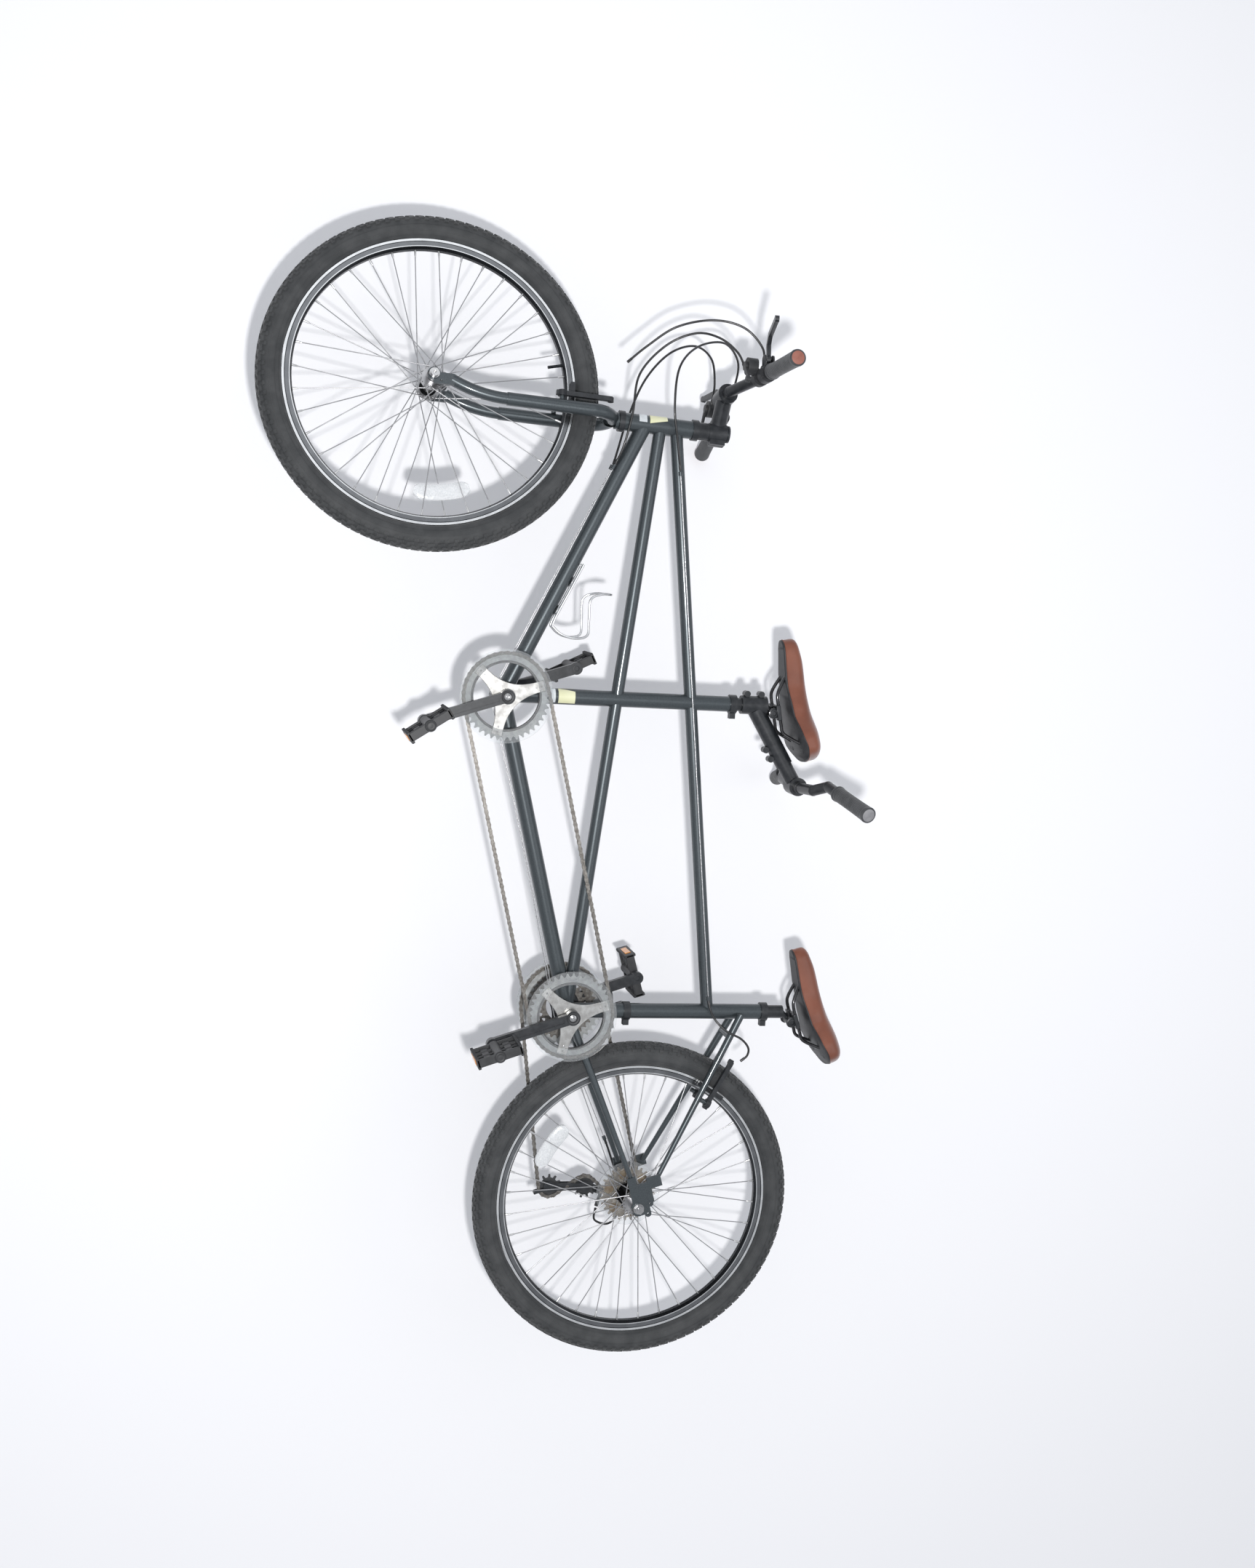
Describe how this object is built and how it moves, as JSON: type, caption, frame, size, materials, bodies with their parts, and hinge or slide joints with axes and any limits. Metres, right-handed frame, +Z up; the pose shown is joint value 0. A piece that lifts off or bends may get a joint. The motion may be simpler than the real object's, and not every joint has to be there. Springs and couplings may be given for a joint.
{
  "type": "tandem bicycle",
  "caption": "Two-rider bicycle: welded steel frame, rigid fork, timing chain, derailleur drive, rim brakes, flat bars and padded saddles.",
  "frame": {"origin": "middle of the rear axle, on the bicycle's centre plane", "axes": "+X forward, +Y to the riders' left along the rear axle, +Z up; the tyres meet the ground at z = -0.335"},
  "size_m": [2.377, 0.6354, 0.9892],
  "materials": {
    "frame_paint": "satin metallic",
    "black_metal": "satin",
    "black_plastic": "matte",
    "alloy": "brushed",
    "steel": "brushed",
    "chain_steel": "oiled",
    "cog_steel": "oiled",
    "cable_housing": "satin",
    "cable_wire": "bright",
    "tyre_rubber": "matte",
    "grip_rubber": "matte",
    "clear_plastic": "clear",
    "saddle_leather": "glossy"
  },
  "bodies": {
    "frame": {"frame_shells": "frame_paint", "lower_tubes": "frame_paint", "upper_tubes": "frame_paint", "seat_tubes": "frame_paint", "rear_stays": "frame_paint", "frame_fittings": "frame_paint", "bearing_cups": "black_metal", "tube_clamps": "black_metal", "bottle_cage": "alloy", "timing_chain": "chain_steel", "drive_chain": "chain_steel", "rear_derailleur": "black_metal", "frame_cables": "cable_wire", "rear_axle": "steel"},
    "steering": {"steering_cables": "cable_housing", "fork": "frame_paint", "front_stem": "black_metal", "front_handlebar": "black_metal", "front_grips": "grip_rubber", "lever_brackets": "black_plastic", "front_skewer": "steel"},
    "front_derailleur_cage": {"front_derailleur": "black_metal"},
    "derailleur_arm": {"derailleur_cage": "black_metal"},
    "guide_wheel": {"guide_pulley": "black_plastic"},
    "tension_wheel": {"tension_pulley": "black_plastic"},
    "rear_wheel": {"rear_tyre": "tyre_rubber", "rear_rim": "alloy", "rear_hub": "steel", "spoke_protector": "clear_plastic"},
    "freewheel_body": {"freewheel": "cog_steel"},
    "front_wheel": {"front_tyre": "tyre_rubber", "front_rim": "alloy", "front_hub": "steel"},
    "left_brake_lever_body": {"left_brake_lever": "black_metal"},
    "right_brake_lever_body": {"right_brake_lever": "black_metal"},
    "left_shift_lever_body": {"left_shift_lever": "black_plastic"},
    "right_shift_lever_body": {"right_shift_lever": "black_plastic"},
    "quick_release": {"quick_release_lever": "black_metal"},
    "front_left_brake": {"front_brake_arm_left": "black_metal"},
    "front_right_brake": {"front_brake_arm_right": "black_metal"},
    "rear_left_brake": {"rear_brake_arm_left": "black_metal"},
    "rear_right_brake": {"rear_brake_arm_right": "black_metal"},
    "front_crank": {"front_crank_arms": "black_metal", "front_timing_ring": "alloy", "front_ring_guard": "clear_plastic"},
    "rear_crank": {"rear_crank_arms": "black_metal", "rear_chainrings": "alloy", "rear_ring_guards": "clear_plastic"},
    "front_left_pedal_body": {"front_left_pedal": "black_plastic"},
    "front_right_pedal_body": {"front_right_pedal": "black_plastic"},
    "rear_left_pedal_body": {"rear_left_pedal": "black_plastic"},
    "rear_right_pedal_body": {"rear_right_pedal": "black_plastic"},
    "captain_seatpost": {"front_seatpost": "black_metal", "stoker_stem": "black_metal"},
    "stoker_seatpost": {"rear_seatpost": "black_metal"},
    "captain_saddle": {"front_saddle": "saddle_leather"},
    "stoker_saddle": {"rear_saddle": "saddle_leather"},
    "stoker_handlebar": {"stoker_extension": "black_metal", "stoker_bar": "black_metal", "stoker_grips": "grip_rubber"}
  },
  "joints": [
    {"name": "steering_turn", "type": "hinge", "parent": "frame", "child": "steering", "pos_m": [1.55817, 0, 0.35625], "axis": [-0.3371, 0, 0.9415], "range_deg": [-56, 84], "deforming": ["steering_cables"]},
    {"name": "front_wheel_spin", "type": "hinge", "parent": "steering", "child": "front_wheel", "pos_m": [1.7152, -0.0069, -0.00028], "axis": [0.2278, 0.9703, 0.0816], "continuous": true},
    {"name": "rear_wheel_spin", "type": "hinge", "parent": "frame", "child": "rear_wheel", "pos_m": [0, 0, 0], "axis": [0, 1, 0], "continuous": true},
    {"name": "rear_crank_spin", "type": "hinge", "parent": "frame", "child": "rear_crank", "pos_m": [0.429, 0, -0.037], "axis": [0, 1, 0], "continuous": true},
    {"name": "front_crank_spin", "type": "hinge", "parent": "frame", "child": "front_crank", "pos_m": [1.093, 0, -0.01], "axis": [0, 1, 0], "continuous": true},
    {"name": "freewheel_spin", "type": "hinge", "parent": "frame", "child": "freewheel_body", "pos_m": [0, 0, 0], "axis": [0, 1, 0], "continuous": true},
    {"name": "derailleur_swing", "type": "hinge", "parent": "frame", "child": "derailleur_arm", "pos_m": [0.033, -0.055, -0.082], "axis": [0, 1, 0], "range_deg": [-20, 50], "stiffness_Nm_per_rad": 3, "deforming": ["drive_chain"]},
    {"name": "guide_pulley_spin", "type": "hinge", "parent": "derailleur_arm", "child": "guide_wheel", "pos_m": [0.033, -0.055, -0.082], "axis": [0, 1, 0], "continuous": true},
    {"name": "tension_pulley_spin", "type": "hinge", "parent": "derailleur_arm", "child": "tension_wheel", "pos_m": [0.056, -0.055, -0.155], "axis": [0, 1, 0], "continuous": true},
    {"name": "front_derailleur_trim", "type": "slide", "parent": "frame", "child": "front_derailleur_cage", "axis": [0, 1, 0], "range_m": [-0.001, 0.001]},
    {"name": "front_left_pedal_spin", "type": "hinge", "parent": "front_crank", "child": "front_left_pedal_body", "pos_m": [1.08855, 0.126, -0.17994], "axis": [0, 1, 0], "continuous": true},
    {"name": "front_right_pedal_spin", "type": "hinge", "parent": "front_crank", "child": "front_right_pedal_body", "pos_m": [1.09745, -0.126, 0.15994], "axis": [0, 1, 0], "continuous": true},
    {"name": "rear_left_pedal_spin", "type": "hinge", "parent": "rear_crank", "child": "rear_left_pedal_body", "pos_m": [0.42455, 0.126, -0.20694], "axis": [0, 1, 0], "continuous": true},
    {"name": "rear_right_pedal_spin", "type": "hinge", "parent": "rear_crank", "child": "rear_right_pedal_body", "pos_m": [0.43345, -0.126, 0.13294], "axis": [0, 1, 0], "continuous": true},
    {"name": "left_brake_lever_pull", "type": "hinge", "parent": "steering", "child": "left_brake_lever_body", "pos_m": [1.60907, 0.13591, 0.63258], "axis": [-0.3371, 0, 0.9415], "range_deg": [0, 24], "stiffness_Nm_per_rad": 0.5, "springref_deg": -17.19},
    {"name": "right_brake_lever_pull", "type": "hinge", "parent": "steering", "child": "right_brake_lever_body", "pos_m": [1.53346, -0.18623, 0.6055], "axis": [0.3371, 0, -0.9415], "range_deg": [0, 24], "stiffness_Nm_per_rad": 0.5, "springref_deg": -17.19},
    {"name": "left_shift_lever_push", "type": "hinge", "parent": "steering", "child": "left_shift_lever_body", "pos_m": [1.6082, 0.11068, 0.5919], "axis": [0.3371, 0, -0.9415], "range_deg": [0, 22], "stiffness_Nm_per_rad": 0.2, "springref_deg": -17.19},
    {"name": "right_shift_lever_push", "type": "hinge", "parent": "steering", "child": "right_shift_lever_body", "pos_m": [1.54533, -0.15712, 0.5694], "axis": [-0.3371, 0, 0.9415], "range_deg": [0, 22], "stiffness_Nm_per_rad": 0.2, "springref_deg": -17.19},
    {"name": "quick_release_open", "type": "hinge", "parent": "steering", "child": "quick_release", "pos_m": [1.69926, -0.07482, -0.00599], "axis": [0.9648, -0.2136, -0.1532], "range_deg": [0, 150]},
    {"name": "front_left_brake_close", "type": "hinge", "parent": "steering", "child": "front_left_brake", "pos_m": [1.63869, 0.03192, 0.24211], "axis": [0.9135, -0.2419, 0.3271], "range_deg": [0, 3.2]},
    {"name": "front_right_brake_close", "type": "hinge", "parent": "steering", "child": "front_right_brake", "pos_m": [1.62047, -0.04571, 0.23559], "axis": [-0.9135, 0.2419, -0.3271], "range_deg": [0, 3.2]},
    {"name": "rear_left_brake_close", "type": "hinge", "parent": "frame", "child": "rear_left_brake", "pos_m": [0.16264, 0.04, 0.19658], "axis": [0.7071, 0, -0.7071], "range_deg": [0, 3.2]},
    {"name": "rear_right_brake_close", "type": "hinge", "parent": "frame", "child": "rear_right_brake", "pos_m": [0.16264, -0.04, 0.19658], "axis": [-0.7071, 0, 0.7071], "range_deg": [0, 3.2]},
    {"name": "captain_seat_height", "type": "slide", "parent": "frame", "child": "captain_seatpost", "axis": [-0.2924, 0, 0.9563], "range_m": [-0.01, 0.1]},
    {"name": "stoker_seat_height", "type": "slide", "parent": "frame", "child": "stoker_seatpost", "axis": [-0.2924, 0, 0.9563], "range_m": [-0.03, 0.12]},
    {"name": "captain_saddle_tilt", "type": "hinge", "parent": "captain_seatpost", "child": "captain_saddle", "pos_m": [0.916, 0, 0.522], "axis": [0, 1, 0], "range_deg": [-6, 10]},
    {"name": "stoker_saddle_tilt", "type": "hinge", "parent": "stoker_seatpost", "child": "stoker_saddle", "pos_m": [0.272, 0, 0.415], "axis": [0, 1, 0], "range_deg": [-10, 10]},
    {"name": "stoker_stem_length", "type": "slide", "parent": "captain_seatpost", "child": "stoker_handlebar", "axis": [-0.9661, 0, 0.2582], "range_m": [-0.025, 0.04]}
  ],
  "couplings": [
    {"joint": "front_crank_spin", "follows": "rear_crank_spin", "ratio": 1},
    {"joint": "freewheel_spin", "follows": "rear_crank_spin", "ratio": 2.625},
    {"joint": "guide_pulley_spin", "follows": "rear_crank_spin", "ratio": -3.8182},
    {"joint": "tension_pulley_spin", "follows": "rear_crank_spin", "ratio": 3.8182},
    {"joint": "front_left_brake_close", "follows": "left_brake_lever_pull", "ratio": 0.125},
    {"joint": "front_right_brake_close", "follows": "left_brake_lever_pull", "ratio": 0.125},
    {"joint": "rear_left_brake_close", "follows": "right_brake_lever_pull", "ratio": 0.125},
    {"joint": "rear_right_brake_close", "follows": "right_brake_lever_pull", "ratio": 0.125}
  ]
}
